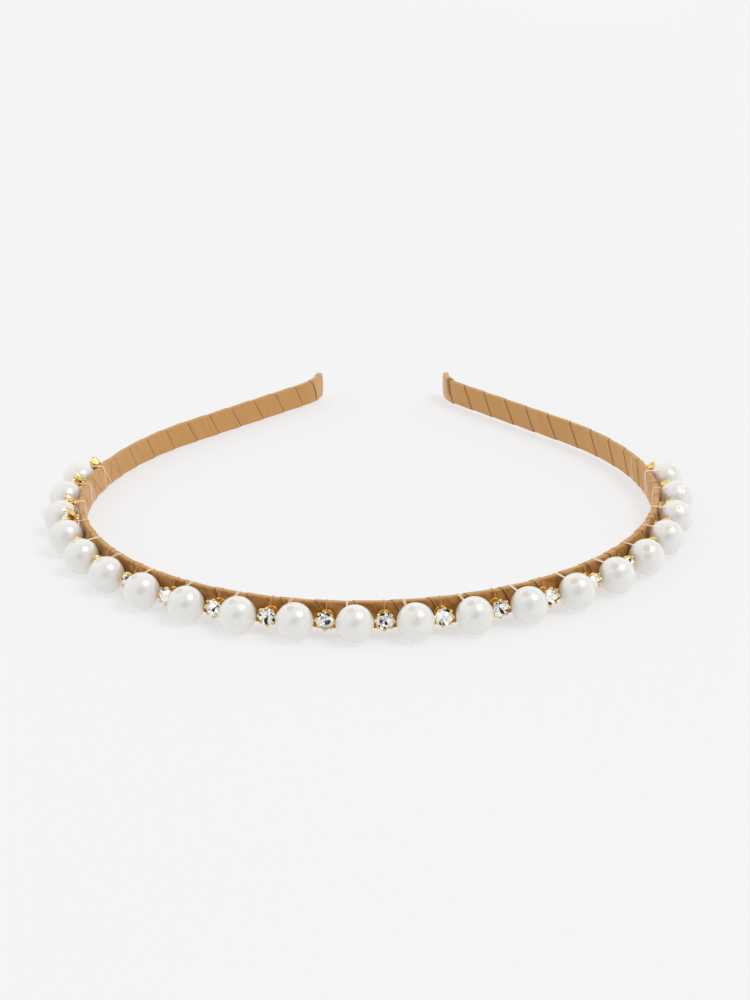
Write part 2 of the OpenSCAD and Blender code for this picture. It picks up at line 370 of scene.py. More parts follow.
def makeRibbonMaterial():
    look = ribbonLook
    material, tree, shader = newMaterial(
        "satinRibbon", Roughness=0.42, Sheen_Weight=0.2, Sheen_Roughness=0.35, Specular_IOR_Level=0.35
    )
    shader.inputs["Sheen Tint"].default_value = (1.0, 0.88, 0.70, 1)
    wrap = addNode(tree, "ShaderNodeAttribute", attribute_name="wrap").outputs["Vector"]
    parts = addNode(tree, "ShaderNodeSeparateXYZ")
    tree.links.new(wrap, parts.inputs[0])
    cloth = useGroup(tree, fibres, Way=wrap, Fineness=6.0, Waver=0.25)
    colour = mixColour(tree, rangeNode(tree, cloth["Shade"], 0, 1, 0.1, 0.45), look["lit"], look["deep"])
    # Painted shade, in patches, on the outer face between the pearls
    paintedShade = addNode(tree, "ShaderNodeAttribute", attribute_name="paintedShade").outputs["Fac"]
    patchy = rangeNode(tree, noiseNode(tree, wrap, 0.5, 2.0), 0.35, 0.65, 0.25, 1.0)
    colour = mixColour(tree, mathNode(tree, "MULTIPLY", paintedShade, patchy), colour, look["paintedShade"])
    phase = parts.outputs[2]  # 0 at a turn's raised edge, 1 where it goes under the next turn
    # painted highlight along a turn's raised edge
    raised = rangeNode(tree, phase, 0.012, 0.06, 0.45, 0)
    colour = mixColour(tree, raised, colour, look["edge"])
    # painted shade: patchy darkening towards the side that goes under the next turn
    foldShade = noiseNode(tree, wrap, 0.35, 2.0)
    near = rangeNode(tree, phase, 0.86, 1.0, 0, 0.55)
    colour = mixColour(tree, mathNode(tree, "MULTIPLY", near, foldShade), colour, look["seamShade"])
    # painted shade: dark lines on both sides of the seam
    under = rangeNode(tree, phase, 0.962, 0.982, 0, 0.92)
    step = rangeNode(tree, phase, 0.002, 0.008, 0.85, 0)
    colour = mixColour(tree, mathNode(tree, "MAXIMUM", under, step), colour, look["seamShade"])
    # the tip covers turn lighter towards the tip
    tipward = addNode(tree, "ShaderNodeAttribute", attribute_name="tipward").outputs["Fac"]
    colour = mixColour(tree, mathNode(tree, "MULTIPLY", tipward, 0.6), colour, look["edge"])
    glue = addNode(tree, "ShaderNodeAttribute", attribute_name="glue").outputs["Fac"]
    blot = mathNode(tree, "ADD", glue, mathNode(tree, "SUBTRACT", noiseNode(tree, wrap, 1.3, 3.0), 0.5))
    colour = mixColour(tree, rangeNode(tree, blot, 0.35, 0.75, 0, 0.85), colour, look["glue"])
    tree.links.new(colour, shader.inputs["Base Color"])
    feed(tree, shader.inputs["Roughness"], rangeNode(tree, cloth["Shade"], 0, 1, 0.36, 0.52))
    bumpInto(tree, shader, cloth["Height"], 0.35, 0.00004)
    return material


def makePearlMaterial():
    material, tree, shader = newMaterial(
        "pearlLacquer", Metallic=0.16, Coat_Weight=0.8, Coat_Roughness=0.14, Coat_IOR=1.6,
        Specular_IOR_Level=0.7, Subsurface_Weight=0.1, Subsurface_Scale=0.002,
    )
    shader.inputs["Subsurface Radius"].default_value = (1.0, 0.8, 0.6)
    cloud = useGroup(tree, mottle, Scale=180.0, Low=0.0, High=1.0)["Value"]
    rim = addNode(tree, "ShaderNodeLayerWeight")
    rim.inputs["Blend"].default_value = 0.35
    body = mixColour(tree, cloud, (0.905, 0.893, 0.848, 1), (0.915, 0.903, 0.864, 1))
    towardRim = rangeNode(tree, rim.outputs["Facing"], 0.3, 0.95, 0, 0.42)
    body = mixColour(tree, towardRim, body, (0.80, 0.72, 0.57, 1))
    plug = addNode(tree, "ShaderNodeAttribute", attribute_name="plug").outputs["Fac"]
    body = mixColour(tree, rangeNode(tree, plug, 0.2, 0.8), body, (0.80, 0.73, 0.62, 1))
    tree.links.new(body, shader.inputs["Base Color"])
    feed(tree, shader.inputs["Roughness"], rangeNode(tree, cloud, 0, 1, 0.28, 0.31))
    return material


def makeGoldMaterial():
    material, tree, shader = newMaterial("goldPlate", Metallic=1.0, Specular_IOR_Level=0.5)
    smear = useGroup(tree, mottle, Scale=900.0, Low=0.0, High=1.0)["Value"]
    hollow = useGroup(tree, hollows, Reach=0.14)["Mask"]
    colour = mixColour(tree, smear, (0.90, 0.60, 0.17, 1), (1.0, 0.76, 0.32, 1))
    colour = mixColour(tree, mathNode(tree, "MULTIPLY", hollow, 0.9), colour, (0.14, 0.06, 0.01, 1))
    tree.links.new(colour, shader.inputs["Base Color"])
    feed(tree, shader.inputs["Roughness"], rangeNode(tree, smear, 0, 1, 0.12, 0.24))
    bumpInto(tree, shader, smear, 0.12, 0.00004)
    return material


def makeStoneMaterials():
    glass, tree, shader = newMaterial("cutGlass", Roughness=0.01, IOR=1.38, Transmission_Weight=1.0)
    cloud = useGroup(tree, mottle, Scale=1500.0, Low=0.94, High=1.0)["Value"]
    colour = addNode(tree, "ShaderNodeCombineColor")
    for k in range(3):
        feed(tree, colour.inputs[k], cloud)
    tree.links.new(colour.outputs[0], shader.inputs["Base Color"])
    # The foil's own light stands in for the bright room that a real stone mirrors
    foil, tree, shader = newMaterial("silverFoil", Metallic=1.0, Emission_Strength=0.36)
    cloud = useGroup(tree, mottle, Scale=1500.0, Low=0.0, High=1.0)["Value"]
    body = mixColour(tree, cloud, (0.90, 0.90, 0.91, 1), (0.97, 0.97, 0.98, 1))
    facet = addNode(tree, "ShaderNodeAttribute", attribute_name="facet").outputs["Fac"]
    body = mixColour(tree, facet, (0.012, 0.012, 0.014, 1), body)
    tree.links.new(body, shader.inputs["Base Color"])
    tree.links.new(body, shader.inputs["Emission Color"])
    feed(tree, shader.inputs["Roughness"], rangeNode(tree, cloud, 0, 1, 0.03, 0.08))
    return glass, foil


def makeThreadMaterial(name, deep, lit, cover):
    material, tree, shader = newMaterial(
        name, Roughness=0.5, Specular_IOR_Level=0.25, Alpha=cover, Emission_Strength=0.14
    )
    shader.inputs["Emission Color"].default_value = lit  # painted light: the thread glows a little in its paler colour, standing in for the bright studio
    lay = addNode(tree, "ShaderNodeAttribute", attribute_name="lay").outputs["Vector"]
    twist = useGroup(tree, fibres, Way=lay, Fineness=9.0, Waver=3.0)
    tree.links.new(mixColour(tree, twist["Shade"], deep, lit), shader.inputs["Base Color"])
    bumpInto(tree, shader, twist["Height"], 0.5, 0.00003)
    return material


def makeSteelMaterial():
    material, tree, shader = newMaterial("springSteel", Metallic=1.0)
    smear = useGroup(tree, mottle, Scale=500.0, Low=0.0, High=1.0)["Value"]
    colour = mixColour(tree, smear, (0.42, 0.43, 0.45, 1), (0.56, 0.57, 0.6, 1))
    tree.links.new(colour, shader.inputs["Base Color"])
    feed(tree, shader.inputs["Roughness"], rangeNode(tree, smear, 0, 1, 0.25, 0.42))
    bumpInto(tree, shader, smear, 0.1, 0.00005)
    return material


def makePaperMaterial():
    material, tree, shader = newMaterial("studioPaper", Specular_IOR_Level=0.0, Emission_Strength=0.567)
    cloud = useGroup(tree, mottle, Scale=2.0, Low=0.0, High=1.0)["Value"]
    colour = mixColour(tree, cloud, (0.345, 0.345, 0.35, 1), (0.355, 0.355, 0.36, 1))
    tree.links.new(colour, shader.inputs["Base Color"])
    shader.inputs["Emission Color"].default_value = (1, 1, 1, 1)  # a pale sheet lit from below as well
    feed(tree, shader.inputs["Roughness"], rangeNode(tree, cloud, 0, 1, 0.85, 0.95))
    return material


satin, pearlCoat, gold = makeRibbonMaterial(), makePearlMaterial(), makeGoldMaterial()
cutGlass, foil = makeStoneMaterials()
paleThread = makeThreadMaterial("paleThread", (0.94, 0.78, 0.56, 1), (1.0, 0.90, 0.74, 1), 0.62)
tanThread = makeThreadMaterial("tanThread", (0.62, 0.36, 0.15, 1), (0.78, 0.52, 0.26, 1), 0.7)
steel, paper = makeSteelMaterial(), makePaperMaterial()
print("materials made")


# Mesh helpers
def makePiece(name, points, faces, materials, slots=None, smooth=True):
    mesh = bpy.data.meshes.new(name)
    mesh.from_pydata(points, [], faces)
    for material in materials:
        mesh.materials.append(material)
    if slots:
        mesh.polygons.foreach_set("material_index", slots)
    mesh.polygons.foreach_set("use_smooth", [smooth] * len(faces))
    mesh.update()
    obj = bpy.data.objects.new(name, mesh)
    scene.collection.objects.link(obj)
    return obj


def addVectors(obj, name, values):
    attribute = obj.data.attributes.new(name, "FLOAT_VECTOR", "POINT")
    attribute.data.foreach_set("vector", [x for v in values for x in v])


def addValues(obj, name, values):
    attribute = obj.data.attributes.new(name, "FLOAT", "POINT")
    attribute.data.foreach_set("value", values)


def ringFaces(rows, around):
    faces = []
    for r in range(rows - 1):
        for k in range(around):
            k2 = (k + 1) % around
            faces.append((r * around + k, r * around + k2, (r + 1) * around + k2, (r + 1) * around + k))
    return faces


# Ribbon, wound in one helix from the left tip to the right
ribbon = {
    "pitch": 7.8,
    "tipPitch": 5.4,
    "pitchVary": 0.5,
    "low": 0.2,  # surface above the steel just before it goes under the next turn
    "step": 0.14,  # how far a turn's edge stands above the one that it covers
    "pucker": 0.012,
    "sink": 0.03,  # the cut ends stop this far above the steel
    "paintedShadeFade": 3,  # mm each way over which the painted shade fades out past the crown's piece
    "endFromTip": 2.2,
    "phases": (0.004, 0.012, 0.03, 0.08, 0.18, 0.32, 0.48, 0.64, 0.78, 0.88, 0.95, 0.985, 1.0),
    "faceSteps": 14,
    "edgeSteps": 3,
    "cornerSteps": 5,
    "crownTurnsTo": 128,  # the crown's piece ends at about this distance each way
    "seed": 7,
}


def crossSection():  # points round the steel as (out, up, outward way, share of the way round)
    r = strip["cornerR"]
    a, b = strip["thick"] / 2 - r, strip["high"] / 2 - r
    corners = [(-a, -b), (-a, b), (a, b), (a, -b)]
    start = [math.pi, math.pi, math.pi / 2, 0]
    made = []
    for k in range(4):  # along a side, then round the corner at its end
        (x0, y0), (x1, y1) = corners[k], corners[(k + 1) % 4]
        way = math.pi - k * math.pi / 2
        steps = ribbon["faceSteps"] if k % 2 == 0 else ribbon["edgeSteps"]
        for j in range(steps):
            t = j / steps
            made.append((x0 + (x1 - x0) * t, y0 + (y1 - y0) * t, way))
        for j in range(ribbon["cornerSteps"]):
            made.append((x1, y1, way - math.pi / 2 * j / ribbon["cornerSteps"]))
    spread = r + ribbon["low"] + ribbon["step"] / 2
    spots = [(x + spread * math.cos(w), y + spread * math.sin(w)) for x, y, w in made]
    run, total = [0.0], 0.0
    for (x0, y0), (x1, y1) in zip(spots, spots[1:] + spots[:1]):
        total += math.hypot(x1 - x0, y1 - y0)
        run.append(total)
    return [(x, y, w, d / total) for (x, y, w), d in zip(made, run)], total


section, roundLength = crossSection()


def turnStarts():  # distance along the line at which each turn starts, on the inner lower corner
    rng = random.Random(ribbon["seed"])
    end = tipS - ribbon["endFromTip"]
    starts, s = [-end], -end
    while s < end - ribbon["tipPitch"]:
        closeness = min(1.0, max(0.0, (abs(s) - flareStart + 6) / 12))
        pitch = ribbon["pitch"] + (ribbon["tipPitch"] - ribbon["pitch"]) * closeness
        s += pitch + rng.uniform(-1, 1) * ribbon["pitchVary"]
        starts.append(s)
    shift = (end - starts[-1]) / len(starts)
    return [v + shift * k for k, v in enumerate(starts)]


starts = turnStarts()


def alongAt(turns):  # distance along the line after so many turns
    k = min(max(int(math.floor(turns)), 0), len(starts) - 2)
    return starts[k] + (starts[k + 1] - starts[k]) * (turns - k)


def wrapHeight(phase):
    rise = min(1.0, 0.7 + 0.3 * (phase - 0.004) / 0.008) if phase < 0.012 else 1.0
    fall = 0.0 if phase > 0.999 else (1 - max(0.0, phase - 0.03) / 0.97) ** 1.15
    return ribbon["low"] + ribbon["step"] * rise * fall


def windRibbon(name, firstRow, lastRow, capped=()):
    phases, around = ribbon["phases"], len(section)
    perTurn, fade = len(phases), ribbon["paintedShadeFade"]
    points, ways, paintedShade, index, faces = [], [], [], {}, []

    def vertex(row, k, sink=False):
        if k == around:
            row, k = row + perTurn, 0
        key = (row, k, sink)
        if key not in index:
            turn, phase = row // perTurn, phases[row % perTurn]
            x, y, w, share = section[k]
            turns = turn + phase + share
            wave = math.sin(turns * 9.7 + 2 * math.sin(turns * 2.3))
            pucker = wave * math.sin(share * 4 * math.pi + turns)
            d = strip["cornerR"] + wrapHeight(phase) + ribbon["pucker"] * pucker
            d = strip["cornerR"] + ribbon["sink"] if sink else d
            s = alongAt(turns)
            points.append(at(s, x + d * math.cos(w), y + d * math.sin(w)))
            # painted shade: the outer face over the crown's piece, between the pearls, takes the darker
            # colour
            inside = (ribbon["crownTurnsTo"] + fade - abs(s)) / (2 * fade)
            paintedShade.append(max(0.0, math.cos(w)) * min(1.0, max(0.0, inside)))
            ways.append((phase * ribbon["pitch"], (turn + share) * roundLength, phase))
            index[key] = len(points) - 1
        return index[key]

    for row in range(firstRow, lastRow):
        for k in range(around):
            near = vertex(row, k), vertex(row + 1, k)
            faces.append(near + (vertex(row + 1, k + 1), vertex(row, k + 1)))
    for row in capped:  # the cut edge of the ribbon turns down onto what it covers
        for k in range(around):
            near = vertex(row, k), vertex(row, k, True)
            faces.append(near + (vertex(row, k + 1, True), vertex(row, k + 1)))
    obj = makePiece(name, points, faces, [satin])
    addVectors(obj, "wrap", ways)
    addValues(obj, "paintedShade", paintedShade)
    return obj


def makeRibbon():
    perTurn = len(ribbon["phases"])
    lastTurn = len(starts) - 2
    firstArm = next(k for k, s in enumerate(starts) if s > -ribbon["crownTurnsTo"])
    lastArm = next(k for k, s in enumerate(starts) if s > ribbon["crownTurnsTo"] - ribbon["pitch"])
    rows = [0, firstArm * perTurn - 1, lastArm * perTurn - 1, lastTurn * perTurn]
    left = windRibbon("ribbonLeftArm", rows[0], rows[1], capped=[rows[0]])
    crown = windRibbon("ribbonCrown", rows[1], rows[2])
    right = windRibbon("ribbonRightArm", rows[2], rows[3], capped=[rows[3]])
    return left, crown, right


ribbonLeft, ribbonCrown, ribbonRight = makeRibbon()
print("ribbon wound:", len(starts), "turns")

# Folded ribbon over each tip
tipCover = {
    "lift": 0.4,  # over the wound ribbon's end
    "step": 0.1,  # more where it is folded back over itself
    "cornerR": 2.5,
    "endR": 0.6,
    "bow": 0.5,
    "slant": 1.0,  # its edges lean like the turns do
    "around": 64,
    "openRows": ((0, 0.001), (0.05, 0.006), (0.12, 0.014), (0.4, 0.05)),  # in from an edge, phase
    "foldRows": ((0.12, 0.95), (0.05, 0.975), (0, 1.0)),
    "glueAt": 0.6,  # from the cover's edge
    "glueWide": 1.1,
    "spotUp": 1.6,
    "left": {"length": 8.2, "fold": 4.1, "glue": 0.0},
    "right": {"length": 9.2, "fold": 0.0, "glue": 1.0},
}


def coverRows(length, fold):  # (distance from the cover's own edge, layer, phase as on the turns)
    edges = [0.0, length - fold, length] if fold else [0.0, length]
    rows, edgeRun = [], tipCover["openRows"][-1][0]
    for layer, (start, end) in enumerate(zip(edges, edges[1:])):
        rows += [(start + d, layer, phase) for d, phase in tipCover["openRows"]]
        last = end == length
        steps = 26 if last else 10
        for k in range(1, steps + 1):
            share = 1 - (1 - k / steps) ** 2 if last else k / (steps + 1)  # rows close up at the tip
            rows.append((start + edgeRun + (end - start - edgeRun) * share, layer, 0.3))
        if not last:
            rows += [(end - d, layer, phase) for d, phase in tipCover["foldRows"]]
    return rows


def makeTipCover(name, side):
    cover, own = tipCover, tipCover["left" if side < 0 else "right"]
    length, rows, around = own["length"], coverRows(own["length"], own["fold"]), cover["around"]
    points, ways, glue, tipward = [], [], [], []
    for x, layer, phase in rows:
        lift = cover["lift"] + cover["step"] * layer
        high, thick = strip["high"] / 2 + lift, strip["thick"] / 2 + lift
        past = max(0.0, x - (length - cover["cornerR"])) / cover["cornerR"]
        halfHigh = high - cover["cornerR"] + cover["cornerR"] * math.sqrt(max(0.0, 1 - past**2))
        nose = max(0.0, x - (length - cover["endR"])) / cover["endR"]
        halfThick = max(0.02, thick * math.sqrt(max(0.0, 1 - nose**2)))
        for k in range(around):
            a = 2 * math.pi * k / around
            ca, sa = math.cos(a), math.sin(a)
            out = halfThick * math.copysign(abs(ca) ** 0.28, ca)  # a rounded slab, not an ellipse
            up = halfHigh * math.copysign(abs(sa) ** (0.45 + 0.4 * past), sa)
            rise, fade = up / high, 1 - x / length
            bow, slant = cover["bow"] * fade * (1 - rise**2), cover["slant"] * rise * fade
            s = side * (tipS - length + x + bow) + slant
            points.append(at(s, out, up))
            ways.append((x + 0.1 * up * up, up * 1.5, phase))
            smear = math.exp(-(((x - cover["glueAt"]) / cover["glueWide"]) ** 2)) * (0.7 + 0.4 * rise)
            spot = 1.2 * math.exp(-((x - length) ** 2 + (up - cover["spotUp"]) ** 2) / 0.5)
            glue.append(own["glue"] * max(smear, spot))
            # rises from the cover's edge towards the tip
            tipward.append(0.35 + 0.65 * x / length)
    faces = ringFaces(len(rows), around)
    faces.append(tuple(range((len(rows) - 1) * around, len(rows) * around)))
    faces.append(tuple(reversed(range(around))))
    if side > 0:
        faces = [tuple(reversed(f)) for f in faces]
    obj = makePiece(name, points, faces, [satin])
    addVectors(obj, "wrap", ways)
    addValues(obj, "glue", glue)
    addValues(obj, "tipward", tipward)
    return obj


tipLeft, tipRight = makeTipCover("tipFoldLeft", -1), makeTipCover("tipFoldRight", 1)
print("tips folded")

# Pearls: one drilled bead mesh, turned on its own thread at each place
pearl = {
    "holeD": 1.5,
    "dish": 0.05,  # how far the glue in a hole's mouth sinks
    "rimR": 0.16,
    "mouthRows": 12,
    "lowLean": 24,  # degrees outward at the crown, and at the right end
    "highLean": 15,
    "lowSkew": 6,  # degrees along the strip, the same way
    "highSkew": 36,
    "skewOver": 6,  # beads from the crown over which the holes turn
    "rows": 40,
    "around": 64,
    "turnSeed": 3,
}
pearlLow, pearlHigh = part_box("pearl_11")
pearlR = (pearlHigh.z - pearlLow.z) / 2 / mm
pearlOut = crownY - (pearlLow.y + pearlHigh.y) / 2 / mm


def boreWay(i):  # the hole's upper end in pearl i, as (along, out, up)
    share = max(0, min(1, (i - (beads["count"] - 1) / 2) / pearl["skewOver"]))
    skew = math.radians(pearl["lowSkew"] + (pearl["highSkew"] - pearl["lowSkew"]) * share)
    lean = math.radians(pearl["lowLean"] + (pearl["highLean"] - pearl["lowLean"]) * share)
    return Vector((-math.cos(lean) * math.sin(skew), math.sin(lean), math.cos(lean) * math.cos(skew)))


def makePearlMesh():  # a ball whose two hole mouths are filled with glue, slightly dished
    hole, rim, around = pearl["holeD"] / 2, pearl["rimR"], pearl["around"]
    mouth = math.asin((hole + rim) / pearlR)
    steps = pearl["mouthRows"]
    polars = [mouth * k / steps for k in range(steps)]
    polars += [mouth + (math.pi - 2 * mouth) * k / pearl["rows"] for k in range(pearl["rows"] + 1)]
    polars += [math.pi - p for p in reversed(polars[:steps])]
    points, shade = [], []
    for polar in polars:
        fromAxis = pearlR * math.sin(polar)
        filled = min(1.0, max(0.0, (hole + rim - fromAxis) / (2 * rim)))
        radius = pearlR - pearl["dish"] * filled * filled * (3 - 2 * filled)
        for k in range(around):
            a = 2 * math.pi * k / around
            wide = math.sin(polar)
            spot = Vector((wide * math.cos(a), wide * math.sin(a), math.cos(polar)))
            points.append(spot * radius * mm)
            shade.append(filled)
    faces = [tuple(reversed(f)) for f in ringFaces(len(polars), around)]
    obj = makePiece("pearl", points, faces, [pearlCoat])
    addValues(obj, "plug", shade)
    return obj


def makePearls():
    first = makePearlMesh()
    rng = random.Random(pearl["turnSeed"])
    for i in range(1, beads["count"] + 1):
        obj = first if i == 1 else bpy.data.objects.new("pearl", first.data)
        obj.name = f"pearlBead{i:02d}"
        if i > 1:
            scene.collection.objects.link(obj)
        way = boreWay(i)
        axis = Vector((way.x, way.z, way.y))  # in the station's own frame: along, up, out
        turned = axis.to_track_quat("Z", "Y").to_matrix().to_4x4()
        spin = Matrix.Rotation(rng.uniform(0, 2 * math.pi), 4, "Z")
        obj.matrix_world = stationMatrix(beadS(i), pearlOut) @ turned @ spin
        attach(obj, "crown")
        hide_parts(f"pearl_{i:02d}")


makePearls()
print("pearls strung")

# Claw settings: a base plate, four legs with thread gaps between them, and a lobed cup
setting = {
    "lobes": 8,
    "lobeSharpness": 1.5,
    "around": 128,
    "cup": (  # radius, its gain at a claw, height, its gain at a claw
        (0.0, 0.0, 1.0, 0.0), (1.0, 0.0, 1.0, 0.0), (1.27, 0.0, 1.06, 0.0), (1.45, 0.05, 1.28, 0.0),
        (1.62, 0.13, 1.7, 0.0), (1.76, 0.24, 2.15, 0.02), (1.84, 0.33, 2.5, 0.06),
        (1.89, 0.38, 2.68, 0.22), (1.93, 0.36, 2.77, 0.42), (1.95, 0.28, 2.8, 0.57),
        (1.95, 0.12, 2.81, 0.63), (1.94, -0.1, 2.81, 0.62),
        (1.92, -0.26, 2.79, 0.53), (1.9, -0.3, 2.75, 0.38), (1.89, -0.2, 2.7, 0.3), (1.88, 0.0, 2.62, 0.1),
        (1.68, 0.0, 2.42, 0.0), (1.1, 0.0, 1.9, 0.0), (0.55, 0.0, 1.42, 0.0), (0.0, 0.0, 1.25, 0.0)),
    "plate": ((0.0, 0.0), (1.3, 0.0), (1.39, 0.04), (1.4, 0.1), (1.36, 0.17), (1.24, 0.21), (0.0, 0.21)),
    "legIn": 0.78,
    "legOut": 1.28,
    "legWide": 0.5,
    "legFrom": 0.15,
    "legHigh": 1.0,
    "legWaist": 0.35,  # how much thinner a leg is at half its height
    "legSplay": 0.06,
    "legRows": 5,
    "legAround": 12,
    "footR": 1.4,
    "looseTilts": (15, 20, 10, 28),  # the first four from the left end are sewn on loosely
    "liftPerDegree": 0.05,
    "raised": 0.03,
    "turn": 7,
    "wobble": 1.5,
    "seed": 11,
}
seatOut = bandOut + 0.02


def makeSettingMesh():
    around = setting["around"]
    points, faces = [], []
    for radius, moreRadius, height, moreHeight in setting["cup"]:
        for k in range(around):
            a = 2 * math.pi * k / around
            claw = (0.5 + 0.5 * math.cos(setting["lobes"] * a)) ** setting["lobeSharpness"]
            r, h = radius + moreRadius * claw, height + moreHeight * claw
            points.append(Vector((r * math.cos(a), r * math.sin(a), h)) * mm)
    faces += ringFaces(len(setting["cup"]), around)
    base = len(points)
    for radius, height in setting["plate"]:
        for k in range(around):
            a = 2 * math.pi * k / around
            points.append(Vector((radius * math.cos(a), radius * math.sin(a), height)) * mm)
    faces += [tuple(base + i for i in f) for f in ringFaces(len(setting["plate"]), around)]
    rows, legAround = setting["legRows"], setting["legAround"]
    for leg in range(4):
        turn = Matrix.Rotation(math.radians(45 + 90 * leg), 3, "Z")
        base = len(points)
        for level in range(rows):
            share = level / (rows - 1)
            h = setting["legFrom"] + setting["legHigh"] * share
            waist = 1 - setting["legWaist"] * math.sin(math.pi * share)
            middle = (setting["legIn"] + setting["legOut"]) / 2 + setting["legSplay"] * share
            deep, wide = (setting["legOut"] - setting["legIn"]) / 2 * waist, setting["legWide"] / 2 * waist
            for k in range(legAround):
                a = 2 * math.pi * k / legAround
                x = middle + deep * math.copysign(abs(math.cos(a)) ** 0.6, math.cos(a))
                y = wide * math.copysign(abs(math.sin(a)) ** 0.6, math.sin(a))
                points.append(turn @ Vector((x, y, h)) * mm)
        faces += [tuple(base + i for i in f) for f in ringFaces(rows, legAround)]
    return makePiece("claws", points, faces, [gold])


def seatMatrix(i):
    tilts = setting["looseTilts"]
    tilt = tilts[i - 1] if i <= len(tilts) else 0
    out = seatOut + setting["footR"] * math.sin(math.radians(tilt))
    place = stationMatrix(stoneS(i), out, setting["liftPerDegree"] * tilt)
    return place @ Matrix.Rotation(math.radians(-tilt), 4, "X")


def settingMatrix(i):
    rng = random.Random(setting["seed"] * 100 + i)
    turn = Matrix.Rotation(math.radians(rng.uniform(-1, 1) * setting["turn"]), 4, "Z")
    wobble = Matrix.Rotation(math.radians(rng.uniform(-1, 1) * setting["wobble"]), 4, "Y")
    return seatMatrix(i) @ Matrix.Translation((0, 0, setting["raised"] * mm)) @ wobble @ turn


def makeSettings():
    first = makeSettingMesh()
    for i in range(1, beads["count"] + 2):
        obj = first if i == 1 else bpy.data.objects.new("claws", first.data)
        obj.name = f"clawSetting{i:02d}"
        if i > 1:
            scene.collection.objects.link(obj)
        obj.matrix_world = settingMatrix(i)
        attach(obj, "crown")
        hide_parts(f"setting_{i:02d}")


makeSettings()
print("settings pressed")

# Stones: glass chatons with a foiled back
stone = {
    "r": 1.87,
    "girdle": 2.87,  # height above the setting's foot
    "girdleHigh": 0.05,
    "table": 0.54,  # radius of the flat top, as a share of r
    "crownHigh": 0.43,
    "deep": 1.5,
    "middle": (0.58, 0.42),  # the back's ring between girdle and point: share of r, share of deep
    "pointShare": 0.05,
    "cornerTurn": 9,
    "tilt": 5,
    "darkShare": 0.22,  # share of facets that mirror something dark
    "brightFrom": 0.75,
    "seed": 21,
}


def chaton():  # points and faces of one stone, and which faces are foiled
    r, g = stone["r"], stone["girdle"]
    top = g + stone["girdleHigh"]

    def spot(radius, turn, height):
        a = math.radians(turn)
        return Vector((radius * math.cos(a), radius * math.sin(a), height)) * mm

    points, corner = [], stone["cornerTurn"]
    middleR, middleDeep = stone["middle"]
    for k in range(8):
        t = 45 * k
        points += [
            spot(r * stone["table"], t, top + stone["crownHigh"]),
            spot(r, t - corner, top), spot(r, t + corner, top),
            spot(r, t - corner, g), spot(r, t + corner, g),
            spot(r * stone["pointShare"], t, g - stone["deep"]),
            spot(r * middleR, t + 22.5, g - stone["deep"] * middleDeep),
        ]
    faces, foiled = [tuple(7 * k for k in range(8))], [0]
    for k in range(8):
        a, b, before = 7 * k, 7 * ((k + 1) % 8), 7 * ((k + 7) % 8)
        faces += [
            (a, a + 1, a + 2), (a, a + 2, b + 1, b),  # crown: a corner, then a main facet
            (a + 1, a + 3, a + 4, a + 2), (a + 2, a + 4, b + 3, b + 1),
            (a + 3, before + 6, a + 4), (before + 6, a + 6, a + 4), (a + 4, a + 6, b + 3),  # back
            (before + 6, a + 5, a + 6), (a + 6, a + 5, b + 5),
        ]
        foiled += [0, 0, 0, 0, 1, 1, 1, 1, 1]
    faces.append(tuple(7 * k + 5 for k in reversed(range(8))))
    foiled.append(1)
    return points, faces, foiled


def makeStones(name, first, last, node):
    one, oneFaces, oneFoil = chaton()
    points, faces, slots = [], [], []
    for i in range(first, last + 1):
        rng = random.Random(stone["seed"] * 100 + i)
        lean = Matrix.Rotation(math.radians(rng.uniform(-1, 1) * stone["tilt"]), 4, "X")
        lean = lean @ Matrix.Rotation(math.radians(rng.uniform(-1, 1) * stone["tilt"]), 4, "Y")
        middle = Matrix.Translation((0, 0, stone["girdle"] * mm))
        turn = Matrix.Rotation(math.radians(i * 47 % 45), 4, "Z")
        place = settingMatrix(i) @ middle @ lean @ middle.inverted() @ turn
        base = len(points)
        points += [place @ p for p in one]
        faces += [tuple(base + k for k in f) for f in oneFaces]
        slots += oneFoil
    obj = makePiece(name, points, faces, [cutGlass, foil], slots, smooth=False)
    shades = obj.data.attributes.new("facet", "FLOAT", "FACE")
    rng = random.Random(stone["seed"] + first)
    dark, bright = stone["darkShare"], stone["brightFrom"]
    lights = [0.0 if rng.random() < dark else rng.uniform(bright, 1) for _ in faces]
    shades.data.foreach_set("value", lights)
    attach(obj, "crown")
    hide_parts(node)


halfStones = (beads["count"] + 1) // 2
makeStones("cutStonesLeft", 1, halfStones, "stones_left")
makeStones("cutStonesRight", halfStones + 1, beads["count"] + 1, "stones_right")
print("stones set")

# Sewing thread: a pale strand through the pearls and a tan one through the settings
thread = {
    "paleR": 0.075,
    "tanR": 0.07,
    "sides": 7,
    "clear": 0.01,  # the strands lie this close to the ribbon
    "corner": 0.3,  # how far from an edge of the band a strand starts to turn over it
    "vary": 0.3,
    "rounds": 2,  # of corner cutting
    "endLeans": (1.6, 1.3),  # the last pass of the pale strand and of the tan one
    "knotOn": 3.4,
    "knotUp": 1.2,
    "knotOut": 0.42,
    "knotWide": 0.115,
    "knotDeep": 0.16,
    "knotR": 0.12,
    "knotSides": 8,
    "knotSteps": 72,
    "footUp": 0.72,  # height of the thread gap in a setting's foot
    "pearlLeans": (4.6, 2.0, 0.7),  # how far each pass behind the strip leans along it
    "footLeans": (6.0, 1.0),
    "sunk": 0.42,  # it lies in the lacquer from where it meets the pearl
    "besideHole": 1.7,  # the pale strand crosses the edge this far before its pearl
    "seed": 5,
}


def standOff(r):  # how far a strand of radius r lies from the line, over a face and over an edge
    gap = thread["clear"] + r
    return bandOut + gap, strip["high"] / 2 + strip["wrapped"] + gap


